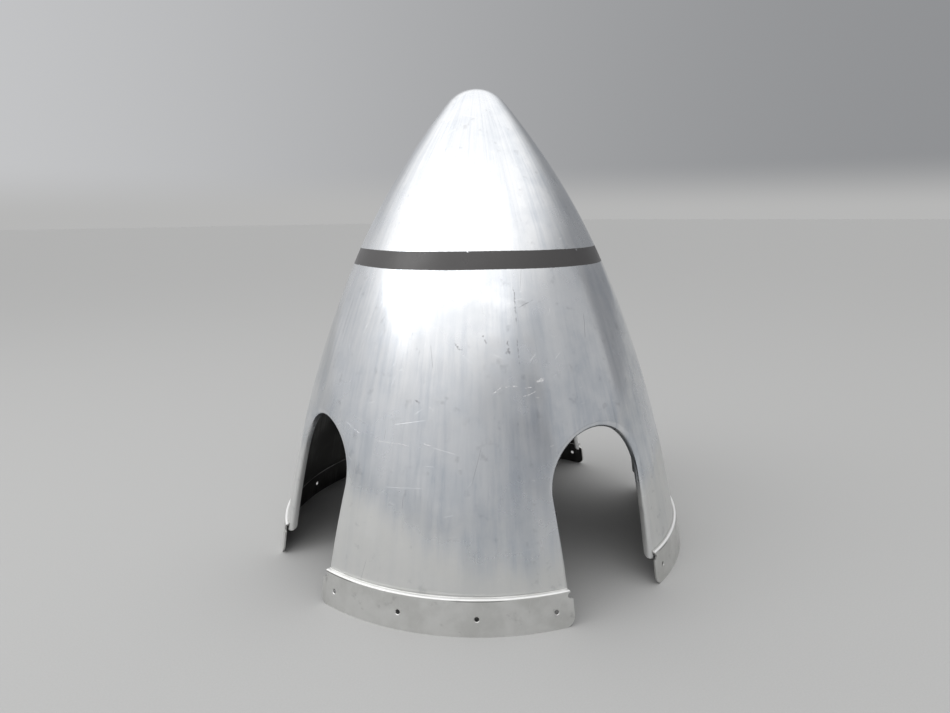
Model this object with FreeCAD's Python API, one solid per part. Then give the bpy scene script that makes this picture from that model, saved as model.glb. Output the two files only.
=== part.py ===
import FreeCAD, Part
import math
import os

# Propeller spinner dome for a four-blade propeller, spun from one sheet of aluminium.
#
# Frame: +Z runs up the axis to the nose and Z = 0 is the bottom edge of the skirt. The blade
# cutouts are centred on +X, +Y, -X and -Y, and the lobes between them carry the screw holes.
#
# The dome's faces are parallel to one ogive, its outside. A depth is measured inwards from that
# ogive along its normal, so the wall keeps the thickness of the sheet.

# ---- sizes, in millimetres and degrees ----

SHEET = 2.0  # thickness of the aluminium

# ogive: three arcs that meet tangentially, each angle being the tilt of the surface there
HEIGHT = 536.5  # bottom edge to the tip
TIP_RADIUS = 42.5  # blunt end, outside
TIP_TILT = 49.6  # where the tip meets the fore arc
SHOULDER_TILT = 66.7  # where the fore arc meets the aft arc
BASE_TILT = 81.0  # at the level of the bottom edge

# skirt: a straight cone that stands out from the dome by a joggle and carries the screws
SKIRT_RADIUS = 254.0  # outside of the skirt at its bottom edge
SKIRT_HEIGHT = 35.5  # bottom edge to the ledge
JOGGLE = 4.0  # step from the dome out to the skirt
LEDGE_ROUND = 1.6  # outer corner of the ledge

# blade cutouts: a U with its arch up, its rim turned in as a flange
BLADES = 4
CUTOUT_WIDTH = 121.0  # across the arch
CUTOUT_MOUTH = 117.0  # across the sides at the ledge
CUTOUT_CENTRE_HEIGHT = 119.5  # centre of the arch above the bottom edge
FLANGE_DEPTH = 10.0  # outside of the dome to the flange's free edge
BEND_RADIUS = 5.0  # outside of the turned-in bend
BEND_INSIDE = 0.8  # flat inside the bend over its radius: the bend's middle keeps the sheet's thickness
FLANGE_TAIL = 8.0  # how far the flange runs down past the ledge
TAIL_ROUND = 5.0  # corner at the tail's end

# ears: the skirt's corners beside each cutout, freed from the flange's tail by a round notch
EAR_REACH = 0.7  # how far an ear stands into the mouth, past the flange's face
EAR_TOP = 28.0  # bottom edge to the notch
EAR_CREST_ROUND = 1.8
EAR_FOOT_ROUND = 11.0
LEDGE_SETBACK = 1.5  # end of the ledge, back from the flange's face

# screws: evenly spaced round the skirt, one place being left out at each cutout
SCREWS_PER_LOBE = 4
SCREW_HOLE = 4.4  # diameter, clearance for a number 8 screw
SCREW_HEIGHT = 17.0

UP = FreeCAD.Vector(0, 0, 1)
OUT = FreeCAD.Vector(1, 0, 0)
ORIGIN = FreeCAD.Vector(0, 0, 0)
REACH = 2 * SKIRT_RADIUS  # cutters run this far out
BELOW = -20.0  # and start here, clear of the bottom edge


def ogive_arcs():
    """The ogive as (centre r, centre z, radius, first tilt, last tilt), tip first."""
    tip, shoulder, base = (math.radians(t) for t in (TIP_TILT, SHOULDER_TILT, BASE_TILT))
    tip_centre = HEIGHT - TIP_RADIUS
    run = SKIRT_RADIUS - JOGGLE - TIP_RADIUS * math.sin(tip)
    fall = tip_centre + TIP_RADIUS * math.cos(tip)
    # the two long arcs have to cover this run and fall between them
    fore_run, fore_fall = math.sin(shoulder) - math.sin(tip), math.cos(tip) - math.cos(shoulder)
    aft_run, aft_fall = math.sin(base) - math.sin(shoulder), math.cos(shoulder) - math.cos(base)
    scale = fore_run * aft_fall - aft_run * fore_fall
    fore = (run * aft_fall - fall * aft_run) / scale
    aft = (fall * fore_run - run * fore_fall) / scale
    fore_r = (TIP_RADIUS - fore) * math.sin(tip)
    fore_z = tip_centre + (TIP_RADIUS - fore) * math.cos(tip)
    aft_r = fore_r + (fore - aft) * math.sin(shoulder)
    aft_z = fore_z + (fore - aft) * math.cos(shoulder)
    return [
        (0.0, tip_centre, TIP_RADIUS, 0.0, tip),
        (fore_r, fore_z, fore, tip, shoulder),
        (aft_r, aft_z, aft, shoulder, base),
    ]


def on_arc(arc, depth, tilt):
    """The point of an arc, depth inside it, where the surface has this tilt."""
    centre_r, centre_z, radius = arc[:3]
    reach = radius - depth
    return FreeCAD.Vector(centre_r + reach * math.sin(tilt), 0, centre_z + reach * math.cos(tilt))


def tilt_at(depth, z):
    """Tilt of the aft arc, depth inside it, at a height."""
    _, centre_z, radius = ogive_arcs()[2][:3]
    return math.acos((z - centre_z) / (radius - depth))


def on_dome(depth, z):
    """The point of the aft arc, depth inside it, at a height."""
    return on_arc(ogive_arcs()[2], depth, tilt_at(depth, z))


def within(depth, low):
    """Everything under the surface that lies this deep, down to the height low."""
    arcs = ogive_arcs()
    spans = [(arc, arc[3], arc[4]) for arc in arcs[:2]]
    spans.append((arcs[2], arcs[2][3], tilt_at(depth, low)))
    edges = [
        Part.Arc(on_arc(arc, depth, a), on_arc(arc, depth, (a + b) / 2), on_arc(arc, depth, b)).toShape()
        for arc, a, b in spans
    ]
    tip = on_arc(arcs[0], depth, 0.0)
    rim = on_dome(depth, low)
    foot = FreeCAD.Vector(0, 0, low)
    edges += [Part.makeLine(rim, foot), Part.makeLine(foot, tip)]
    return Part.Face(Part.Wire(edges)).revolve(ORIGIN, UP, 360)


def slab(low, high):
    """A disc wider than the spinner between two heights."""
    return Part.makeCylinder(REACH, high - low, FreeCAD.Vector(0, 0, low), UP)


def at(y, z):
    """A point of a cutout's outline, in the plane through the axis that faces the cutout."""
    return FreeCAD.Vector(0, y, z)


def round_the_blades(cutter):
    """Copies of a cutter that faces +X, one for each blade."""
    copies = []
    for blade in range(BLADES):
        copy = cutter.copy()
        copy.rotate(ORIGIN, UP, 360.0 * blade / BLADES)
        copies.append(copy)
    return copies


def outline_prisms(edges):
    """A closed outline extruded outwards from the axis, at each blade."""
    return round_the_blades(Part.Face(Part.Wire(edges)).extrude(OUT * REACH))


def cutouts(extra):
    """The blade cutouts, each made wider by extra all round, open at the bottom.

    The sides are tangent to the arch and lean in to the mouth's width at the ledge.
    """
    arch = CUTOUT_WIDTH / 2
    drop = CUTOUT_CENTRE_HEIGHT - SKIRT_HEIGHT
    span = math.hypot(drop, CUTOUT_MOUTH / 2)
    lean = math.asin(arch / span) - math.atan2(CUTOUT_MOUTH / 2, drop)
    top_y = (arch + extra) * math.cos(lean)
    top_z = CUTOUT_CENTRE_HEIGHT - (arch + extra) * math.sin(lean)
    low_y = top_y - (top_z - BELOW) * math.tan(lean)
    crown = CUTOUT_CENTRE_HEIGHT + arch + extra
    return outline_prisms([
        Part.Arc(at(-top_y, top_z), at(0, crown), at(top_y, top_z)).toShape(),
        Part.makeLine(at(top_y, top_z), at(low_y, BELOW)),
        Part.makeLine(at(low_y, BELOW), at(-low_y, BELOW)),
        Part.makeLine(at(-low_y, BELOW), at(-top_y, top_z)),
    ])


def real_edges(shape):
    """The edges of a shape that have a length, so not the one at the pole of the tip."""
    return [edge for edge in shape.Edges if not edge.Degenerated]


def is_cutout_rim(edge, depth):
    """True for an edge that runs over the dome's surface beside a cutout, and not round its foot."""
    points = edge.discretize(5)
    heights = [p.z for p in points]
    if max(heights) - min(heights) < 1.0 or max(heights) > CUTOUT_CENTRE_HEIGHT + CUTOUT_WIDTH:
        return False
    return all(abs(math.hypot(p.x, p.y) - on_dome(depth, p.z).x) < 0.01 for p in points)


def cutout_form(depth, extra):
    """Solid dome of this depth with its cutouts, and the outer edges along the cutouts."""
    form = within(depth, BELOW).cut(cutouts(extra))
    return form, [e for e in real_edges(form) if is_cutout_rim(e, depth)]


def dome_with_flanges():
    """The dome above the ledge, with the rim of each cutout turned in."""
    form, rims = cutout_form(0.0, 0.0)
    outside = form.makeFillet(BEND_RADIUS, rims)
    form, rims = cutout_form(SHEET, SHEET)
    inside = form.makeChamfer(BEND_INSIDE * (BEND_RADIUS - SHEET), rims)
    core = within(FLANGE_DEPTH, BELOW)
    sheet = outside.cut([inside, core])
    # below the ledge only the rolled flange is left, down to the end of its tail
    under_ledge = slab(2 * BELOW, SKIRT_HEIGHT).cut(cutouts(BEND_RADIUS))
    under_tail = slab(2 * BELOW, SKIRT_HEIGHT - FLANGE_TAIL)
    return sheet.cut([under_ledge, under_tail])


def rounded_tails(dome):
    """Round the inner corner at the end of each flange's tail."""
    end = SKIRT_HEIGHT - FLANGE_TAIL
    corner = on_dome(FLANGE_DEPTH, end).x
    corners = []
    for edge in real_edges(dome):
        points = edge.discretize(3)
        level = all(abs(p.z - end) < 0.001 for p in points)
        inner = all(abs(math.hypot(p.x, p.y) - corner) < 0.01 for p in points)
        if level and inner:
            corners.append(edge)
    return dome.makeFillet(TAIL_ROUND, corners)


def skirt_slope():
    """Unit vector up the outside of the skirt, and the unit normal out of it."""
    top = on_dome(0.0, SKIRT_HEIGHT).x + JOGGLE
    slope = FreeCAD.Vector(top - SKIRT_RADIUS, 0, SKIRT_HEIGHT).normalize()
    return slope, FreeCAD.Vector(slope.z, 0, -slope.x)


def on_skirt(depth, z):
    """The point of the skirt, depth inside its outer face, at a height."""
    slope, normal = skirt_slope()
    foot = FreeCAD.Vector(SKIRT_RADIUS, 0, 0) - normal * depth
    return foot + slope * ((z - foot.z) / slope.z)


def skirt_ring():
    """Ledge and skirt before anything is cut from them, turned from one section."""
    under = SKIRT_HEIGHT - SHEET
    _, normal = skirt_slope()
    centre = on_skirt(LEDGE_ROUND, SKIRT_HEIGHT - LEDGE_ROUND)
    crest = centre + UP * LEDGE_ROUND
    shoulder = centre + (UP + normal).normalize() * LEDGE_ROUND
    flank = centre + normal * LEDGE_ROUND
    foot, heel = on_skirt(0.0, 0.0), on_skirt(SHEET, 0.0)
    corner = on_skirt(SHEET, under)
    lip_under = on_dome(SHEET, under)
    lip_middle = on_dome(SHEET, (under + SKIRT_HEIGHT) / 2)
    lip_top = on_dome(SHEET, SKIRT_HEIGHT)
    edges = [
        Part.makeLine(lip_top, crest),
        Part.Arc(crest, shoulder, flank).toShape(),
        Part.makeLine(flank, foot),
        Part.makeLine(foot, heel),
        Part.makeLine(heel, corner),
        Part.makeLine(corner, lip_under),
        Part.Arc(lip_under, lip_middle, lip_top).toShape(),
    ]
    return Part.Face(Part.Wire(edges)).revolve(ORIGIN, UP, 360)


def quarter(centre_y, centre_z, radius, start, middle, end):
    """A quarter circle of an outline as an edge, its three directions given in degrees."""
    directions = [math.radians(a) for a in (start, middle, end)]
    points = [at(centre_y + radius * math.cos(a), centre_z + radius * math.sin(a)) for a in directions]
    return Part.Arc(*points).toShape()


def ear_gaps():
    """What is cut from the skirt at each blade: a mouth between two round-cornered ears."""
    half = CUTOUT_MOUTH / 2 - EAR_REACH
    foot, crest = EAR_FOOT_ROUND, EAR_CREST_ROUND
    ledge_end = CUTOUT_MOUTH / 2 + LEDGE_SETBACK
    top = SKIRT_HEIGHT + JOGGLE
    side = [
        Part.makeLine(at(half + foot, BELOW), at(half + foot, 0)),
        quarter(half + foot, foot, foot, 270, 225, 180),
        Part.makeLine(at(half, foot), at(half, EAR_TOP - crest)),
        quarter(half + crest, EAR_TOP - crest, crest, 180, 135, 90),
        Part.makeLine(at(half + crest, EAR_TOP), at(ledge_end, EAR_TOP)),
        Part.makeLine(at(ledge_end, EAR_TOP), at(ledge_end, top)),
    ]
    other_side = [edge.mirror(ORIGIN, FreeCAD.Vector(0, 1, 0)) for edge in side]
    ends = [
        Part.makeLine(at(ledge_end, top), at(-ledge_end, top)),
        Part.makeLine(at(half + foot, BELOW), at(-half - foot, BELOW)),
    ]
    return outline_prisms(Part.__sortEdges__(side + other_side + ends))


def reliefs():
    """Round notches in the skirt, from the top of the ears to the underside of the ledge."""
    radius = (SKIRT_HEIGHT - SHEET - EAR_TOP) / 2
    centre_y = CUTOUT_MOUTH / 2 + LEDGE_SETBACK
    pair = [
        Part.makeCylinder(radius, REACH, FreeCAD.Vector(0, side * centre_y, EAR_TOP + radius), OUT)
        for side in (-1, 1)
    ]
    return [notch for cutter in pair for notch in round_the_blades(cutter)]


def screw_holes():
    """A hole square to the skirt at each screw: an even ring, less the place at each cutout."""
    _, normal = skirt_slope()
    hole = Part.makeCylinder(
        SCREW_HOLE / 2, 4 * SHEET, on_skirt(0.0, SCREW_HEIGHT) - normal * (3 * SHEET), normal
    )
    places = SCREWS_PER_LOBE + 1
    holes = []
    for place in range(BLADES * places):
        if place % places:
            copy = hole.copy()
            copy.rotate(ORIGIN, UP, 360.0 * place / (BLADES * places))
            holes.append(copy)
    return holes


def spinner_dome():
    """The whole spun, cut and flanged dome as one solid."""
    dome = rounded_tails(dome_with_flanges())
    skirt = skirt_ring().cut(ear_gaps() + reliefs() + screw_holes())
    return dome.fuse(skirt).removeSplitter()


def write(name, shape):
    """Write one node as a STEP file and say what it holds."""
    print(name, len(shape.Solids), "solid", round(shape.Volume / 1000), "cm3, valid:", shape.isValid())
    part = shape.Solids[0] if len(shape.Solids) == 1 else shape
    part.exportStep("parts/%s.step" % name)


os.makedirs("parts", exist_ok=True)
write("spinner_dome", spinner_dome())
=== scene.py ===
import logging
import math
from dataclasses import dataclass, field
from enum import Enum
from typing import Any, Callable, Sequence

import bpy
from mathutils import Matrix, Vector
from mathutils.geometry import delaunay_2d_cdt


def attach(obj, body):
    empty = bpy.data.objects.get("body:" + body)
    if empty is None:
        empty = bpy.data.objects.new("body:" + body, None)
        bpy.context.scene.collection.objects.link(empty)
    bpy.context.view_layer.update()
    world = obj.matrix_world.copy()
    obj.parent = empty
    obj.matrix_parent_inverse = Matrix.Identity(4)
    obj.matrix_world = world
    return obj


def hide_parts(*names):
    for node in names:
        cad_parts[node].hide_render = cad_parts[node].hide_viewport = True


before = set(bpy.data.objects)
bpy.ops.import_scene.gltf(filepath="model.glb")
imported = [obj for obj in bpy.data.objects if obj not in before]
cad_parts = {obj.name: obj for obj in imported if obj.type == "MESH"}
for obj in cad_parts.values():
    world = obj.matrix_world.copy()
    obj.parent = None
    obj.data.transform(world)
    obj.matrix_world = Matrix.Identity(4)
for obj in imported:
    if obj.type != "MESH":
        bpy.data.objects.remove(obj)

log = logging.getLogger("spinner")

MM = 0.001
QUARTER = math.pi / 2
# flat points this close are one
SAME_PLACE = 1e-7
# a face lies in a hole when its middle is within this share of the hole's radius
JUST_INSIDE = 0.992
SOCKET_TYPES = {float: "Float", int: "Int", tuple: "Vector"}
Flat = tuple[float, float]
Point = tuple[float, float, float]
Colour = tuple[float, float, float, float]
Grid = list[list[Point]]


class Side(Enum):
    """Which face of the sheet a patch of mesh belongs to."""

    OUTSIDE = 0
    INSIDE = 1


class Arc(Enum):
    """The three arcs of the dome's outline, tip first."""

    TIP = 0
    FORE = 1
    AFT = 2


class Kind(Enum):
    """What a mark on the dome is."""

    LIGHT = 0
    DARK = 1


# -------- small helpers


def deg(angle: float) -> float:
    """Degrees as radians."""
    return math.radians(angle)


def lerp(a: Any, b: Any, share: Any) -> Any:
    """The number, or the nodes' value, a share of the way from a to b."""
    return a + (b - a) * share


def even(start: float, end: float, steps: int) -> list[float]:
    """Steps + 1 evenly spaced numbers from start to end."""
    return [lerp(start, end, i / steps) for i in range(steps + 1)]


def arc(a: float, b: float, radius: float, start: float, end: float, steps: int) -> list[Flat]:
    """Steps + 1 points of a circle about the flat point a, b, from one angle to another."""
    return [(a + radius * math.cos(t), b + radius * math.sin(t)) for t in even(start, end, steps)]


def polar(turn: float, r: float, z: float) -> Point:
    """The point at a turn about the Z axis, a distance from it and a height."""
    return r * math.cos(turn), r * math.sin(turn), z


def linked(name: str, data: Any) -> bpy.types.Object:
    """Put new data in the scene as an object."""
    item = bpy.data.objects.new(name, data)
    bpy.context.scene.collection.objects.link(item)
    return item


@dataclass
class Patchwork:
    """Mesh patches collected as vertices and faces, each face with its side of the sheet."""

    vertices: list[Point] = field(default_factory=list)
    faces: list[tuple[int, ...]] = field(default_factory=list)
    sides: list[int] = field(default_factory=list)

    def add_face(self, corners: Sequence[Point], side: Side) -> None:
        """Add one face that shares no vertex with the others yet."""
        first = len(self.vertices)
        self.vertices.extend(corners)
        self.faces.append(tuple(range(first, first + len(corners))))
        self.sides.append(side.value)

    def add_grid(self, rows: Grid, side: Side, flip: bool = False) -> None:
        """Add a grid of quads.

        Args:
            rows: Points row by row, all rows of one length.
            side: The side of the sheet that the grid belongs to.
            flip: Turns the faces round.
        """
        first = len(self.vertices)
        width = len(rows[0])
        for row in rows:
            self.vertices.extend(row)
        for a in range(len(rows) - 1):
            for b in range(width - 1):
                i = first + a * width + b
                quad = (i, i + width, i + width + 1, i + 1)
                self.faces.append(quad[::-1] if flip else quad)
                self.sides.append(side.value)

    def add_mirrored(self, mirror: Callable[[Point], Point]) -> None:
        """Add every face again, mirrored, with its corners in the other order."""
        first = len(self.vertices)
        self.vertices.extend([mirror(v) for v in self.vertices])
        for face in self.faces[:]:
            self.faces.append(tuple(first + i for i in reversed(face)))
        self.sides.extend(self.sides[:])

    def to_object(self, name: str) -> bpy.types.Object:
        """Make a mesh object of the patches, linked to the scene.

        Args:
            name: Name of the object and its mesh.

        Returns:
            The object, with an integer face attribute "sheet_side".
        """
        mesh = bpy.data.meshes.new(name)
        mesh.from_pydata(self.vertices, [], self.faces)
        marks = mesh.attributes.new("sheet_side", "INT", "FACE")
        marks.data.foreach_set("value", self.sides)
        mesh.update()
        return linked(name, mesh)


@dataclass(frozen=True)
class Value:
    """A node's output that is reckoned with: each sum or product adds a Math node."""

    nodes: "Nodes"
    socket: bpy.types.NodeSocket

    def __add__(self, other: Any) -> "Value":
        """The sum with a number or another value."""
        return self.nodes.math("ADD", self, other)

    def __sub__(self, other: Any) -> "Value":
        """The value less a number or another value."""
        return self.nodes.math("SUBTRACT", self, other)

    def __rsub__(self, other: float) -> "Value":
        """A number less the value."""
        return self.nodes.math("SUBTRACT", other, self)

    def __mul__(self, other: Any) -> "Value":
        """The product with a number or another value."""
        return self.nodes.math("MULTIPLY", self, other)

    def __truediv__(self, other: Any) -> "Value":
        """The value divided by a number or another value."""
        return self.nodes.math("DIVIDE", self, other)

    def __rtruediv__(self, other: float) -> "Value":
        """A number divided by the value."""
        return self.nodes.math("DIVIDE", other, self)

    def __abs__(self) -> "Value":
        """The value without its sign."""
        return self.nodes.math("ABSOLUTE", self)

    __radd__ = __add__
    __rmul__ = __mul__

    def clamped(self) -> "Value":
        """The value held between 0 and 1."""
        return self.nodes.math("ADD", self, 0.0, clamp=True)


@dataclass
class Nodes:
    """A short way to add nodes to a tree and to join them."""

    tree: bpy.types.NodeTree

    def add(self, kind: str, inputs: Any = None, **settings: Any) -> bpy.types.Node:
        """Add a node.

        Args:
            kind: The node's type name.
            inputs: Input sockets by name or number, each with what it is fed.
            settings: Properties of the node.

        Returns:
            The node.
        """
        node = self.tree.nodes.new(kind)
        for key, value in settings.items():
            setattr(node, key, value)
        for key, value in (inputs or {}).items():
            self.feed(node.inputs[key], value)
        return node

    def feed(self, socket: bpy.types.NodeSocket, value: Any) -> None:
        """Join a socket to another node's output, or set its value."""
        source = value.socket if isinstance(value, Value) else value
        if isinstance(source, bpy.types.NodeSocket):
            self.tree.links.new(source, socket)
        else:
            socket.default_value = source

    def output(self, kind: str, inputs: Any = None, which: Any = 0, **settings: Any) -> Value:
        """Add a node and take one of its outputs, by name or number."""
        return Value(self, self.add(kind, inputs, **settings).outputs[which])

    def math(self, operation: str, *values: Any, clamp: bool = False) -> Value:
        """A Math node's output."""
        inputs = dict(enumerate(values))
        return self.output("ShaderNodeMath", inputs, operation=operation, use_clamp=clamp)

    def largest(self, first: Any, *others: Any) -> Any:
        """The largest of several values."""
        for other in others:
            first = self.math("MAXIMUM", first, other)
        return first

    def cos_sin(self, angle: Any) -> tuple[Value, Value]:
        """The cosine and the sine of an angle."""
        return self.math("COSINE", angle), self.math("SINE", angle)

    def slanted(self, across: Value, up: Value, angle: Value) -> tuple[Value, Value]:
        """How far a flat place lies along and off a line through the origin at an angle."""
        cosine, sine = self.cos_sin(angle)
        return across * cosine + up * sine, up * cosine - across * sine

    def vector(self, operation: str, *values: Any) -> Value:
        """A Vector Math node's output; the values are triples or sockets."""
        which = "Value" if operation in ("LENGTH", "DOT_PRODUCT") else "Vector"
        inputs = dict(enumerate(values))
        return self.output("ShaderNodeVectorMath", inputs, which, operation=operation)

    def scaled(self, vector: Value, by: Any) -> Value:
        """A vector times a number."""
        return self.output("ShaderNodeVectorMath", {0: vector, "Scale": by}, operation="SCALE")

    def split(self, vector: Any) -> tuple[Value, ...]:
        """The three parts of a vector."""
        parts = self.add("ShaderNodeSeparateXYZ", {0: vector}).outputs
        return tuple(Value(self, part) for part in parts)

    def join(self, x: Any, y: Any, z: Any) -> Value:
        """A vector of three parts."""
        return self.output("ShaderNodeCombineXYZ", {0: x, 1: y, 2: z})

    def ramp(self, value: Any, low: Any, high: Any, bottom: float = 0.0, top: float = 1.0) -> Value:
        """A value mapped smoothly from the range low to high on to bottom to top."""
        inputs = {"Value": value, "From Min": low, "From Max": high}
        inputs.update({"To Min": bottom, "To Max": top})
        return self.output("ShaderNodeMapRange", inputs, interpolation_type="SMOOTHSTEP")

    def fall(self, value: Any, low: float, high: float) -> Value:
        """A share that falls smoothly from 1 at low to 0 at high."""
        return self.ramp(value, low, high, bottom=1.0, top=0.0)

    def noise(self, vector: Any, scale: Any, detail: float = 2.0, roughness: float = 0.5) -> Value:
        """A noise texture's factor."""
        inputs = {"Vector": vector, "Scale": scale, "Detail": detail, "Roughness": roughness}
        return self.output("ShaderNodeTexNoise", inputs)

    def mix(self, share: Any, first: Any, second: Any) -> Value:
        """Two colours mixed by a share."""
        inputs = {0: share, 6: first, 7: second}
        return self.output("ShaderNodeMix", inputs, 2, data_type="RGBA")

    def layered(self, colour: Any, *layers: tuple[Any, Any]) -> Any:
        """A colour with others laid over it in turn, each by its own share."""
        for share, over in layers:
            colour = self.mix(share, colour, over)
        return colour


@dataclass
class Group:
    """A node group being made, with named inputs and one output.

    Attributes:
        kind: "Shader" or "Geometry".
        name: The group's name.
        output: Name of its output, a number or a geometry.
        inputs: Default value of each named input, or its socket type where it has none.
    """

    kind: str
    name: str
    output: str
    inputs: dict[str, Any]

    def __post_init__(self) -> None:
        """Make the tree and its sockets."""
        tree = bpy.data.node_groups.new(self.name, self.kind + "NodeTree")
        for label, value in self.inputs.items():
            socket_type = value if isinstance(value, str) else SOCKET_TYPES[type(value)]
            socket = tree.interface.new_socket(
                label, in_out="INPUT", socket_type="NodeSocket" + socket_type
            )
            if not isinstance(value, str):
                socket.default_value = value
        result = "NodeSocketGeometry" if self.kind == "Geometry" else "NodeSocketFloat"
        tree.interface.new_socket(self.output, in_out="OUTPUT", socket_type=result)
        self.nodes = Nodes(tree)
        outputs = self.nodes.add("NodeGroupInput").outputs
        self.given = {socket.name: Value(self.nodes, socket) for socket in outputs}
        self.result = self.nodes.add("NodeGroupOutput").inputs[0]

    def finish(self, value: Value) -> bpy.types.NodeTree:
        """Feed the output and return the tree."""
        self.nodes.feed(self.result, value)
        return self.nodes.tree


def add_geometry_nodes(
    piece: bpy.types.Object, tree: bpy.types.NodeTree, values: dict[str, Any]
) -> None:
    """Put a geometry tree on an object, its inputs set by the sockets' identifiers.

    Args:
        piece: The object.
        tree: The geometry tree.
        values: Value of each named input.
    """
    modifier = piece.modifiers.new(tree.name, "NODES")
    modifier.node_group = tree
    for item in tree.interface.items_tree:
        if item.item_type == "SOCKET" and item.in_out == "INPUT" and item.name in values:
            modifier[item.identifier] = values[item.name]


def made_plain(piece: bpy.types.Object) -> bpy.types.Object:
    """Turn an object's modifiers into a plain mesh and take them off.

    Args:
        piece: The object with its modifiers.

    Returns:
        The same object.
    """
    graph = bpy.context.evaluated_depsgraph_get()
    mesh = bpy.data.meshes.new_from_object(
        piece.evaluated_get(graph), preserve_all_data_layers=True, depsgraph=graph
    )
    piece.modifiers.clear()
    old, piece.data = piece.data, mesh
    mesh.name = piece.name
    bpy.data.meshes.remove(old)
    return piece


# -------- the ogive


@dataclass(frozen=True)
class Ogive:
    """Outline of the dome: three arcs that meet tangentially, turned about the Z axis.

    A point is given by its turn about the axis, the tilt of the surface there and its depth
    inside the outer surface. Lengths are in metres and angles in radians.
    """

    height: float = 536.5 * MM
    base_radius: float = 250.0 * MM
    tip_radius: float = 42.5 * MM
    tip_tilt: float = deg(49.6)
    shoulder_tilt: float = deg(66.7)
    base_tilt: float = deg(81.0)

    def radii(self) -> tuple[float, float]:
        """Radii of the fore and aft arcs, which have to cover the run and fall between them."""
        tip, shoulder, base = self.tip_tilt, self.shoulder_tilt, self.base_tilt
        run = self.base_radius - self.tip_radius * math.sin(tip)
        fall = self.height - self.tip_radius * (1 - math.cos(tip))
        fore_run, fore_fall = math.sin(shoulder) - math.sin(tip), math.cos(tip) - math.cos(shoulder)
        aft_run, aft_fall = math.sin(base) - math.sin(shoulder), math.cos(shoulder) - math.cos(base)
        scale = fore_run * aft_fall - aft_run * fore_fall
        fore = (run * aft_fall - fall * aft_run) / scale
        aft = (fall * fore_run - run * fore_fall) / scale
        return fore, aft

    def arc(self, which: Arc) -> tuple[float, float, float]:
        """Centre r, centre z and radius of one arc."""
        fore, aft = self.radii()
        r, z = 0.0, self.height - self.tip_radius
        if which is Arc.TIP:
            return r, z, self.tip_radius
        r += (self.tip_radius - fore) * math.sin(self.tip_tilt)
        z += (self.tip_radius - fore) * math.cos(self.tip_tilt)
        if which is Arc.FORE:
            return r, z, fore
        r += (fore - aft) * math.sin(self.shoulder_tilt)
        z += (fore - aft) * math.cos(self.shoulder_tilt)
        return r, z, aft

    def tilt_at(self, z: float, depth: float = 0.0) -> float:
        """Tilt of the aft arc at a height."""
        _, centre_z, radius = self.arc(Arc.AFT)
        return math.acos((z - centre_z) / (radius - depth))

    def radius_at(self, z: float, depth: float = 0.0) -> float:
        """Distance of the aft arc from the axis at a height."""
        centre_r, _, radius = self.arc(Arc.AFT)
        return centre_r + (radius - depth) * math.sin(self.tilt_at(z, depth))

    def flat(self, point: Vector) -> Point:
        """Turn, tilt and depth of a point near the aft arc."""
        centre_r, centre_z, radius = self.arc(Arc.AFT)
        r = math.hypot(point.x, point.y) - centre_r
        z = point.z - centre_z
        return math.atan2(point.y, point.x), math.atan2(r, z), radius - math.hypot(r, z)

    def normal(self, point: Vector) -> Vector:
        """Unit normal of the aft arc's surface through a point."""
        turn, tilt, _ = self.flat(point)
        return Vector(polar(turn, math.sin(tilt), math.cos(tilt)))


def round_the_axis_tree() -> bpy.types.NodeTree:
    """Tree that repeats a mesh round the Z axis and welds the copies.

    Returns:
        The tree, with inputs Geometry, Copies, Weld, Outside and Inside.
    """
    inputs = {
        "Geometry": "Geometry",
        "Copies": 4,
        "Weld": 0.01 * MM,
        "Outside": "Material",
        "Inside": "Material",
    }
    group = Group("Geometry", "repeat_round_the_axis", "Geometry", inputs)
    nodes, given = group.nodes, group.given
    points = nodes.output("GeometryNodePoints", {"Count": given["Copies"]})
    share = nodes.output("GeometryNodeInputIndex") / given["Copies"]
    turn = nodes.join(0.0, 0.0, share * (4 * QUARTER))
    side = nodes.output(
        "GeometryNodeInputNamedAttribute", {"Name": "sheet_side"}, "Attribute", data_type="INT"
    )
    inside = nodes.math("GREATER_THAN", side, Side.OUTSIDE.value + 0.5)
    mesh = nodes.output(
        "GeometryNodeInstanceOnPoints",
        {"Points": points, "Instance": given["Geometry"], "Rotation": turn},
    )
    for kind, values in (
        ("GeometryNodeRealizeInstances", {}),
        ("GeometryNodeMergeByDistance", {"Distance": given["Weld"]}),
        ("GeometryNodeSetShadeSmooth", {}),
        ("GeometryNodeSetMaterial", {"Material": given["Outside"]}),
        ("GeometryNodeSetMaterial", {"Selection": inside, "Material": given["Inside"]}),
    ):
        mesh = nodes.output(kind, {"Geometry": mesh, **values})
    return group.finish(mesh)


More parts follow.
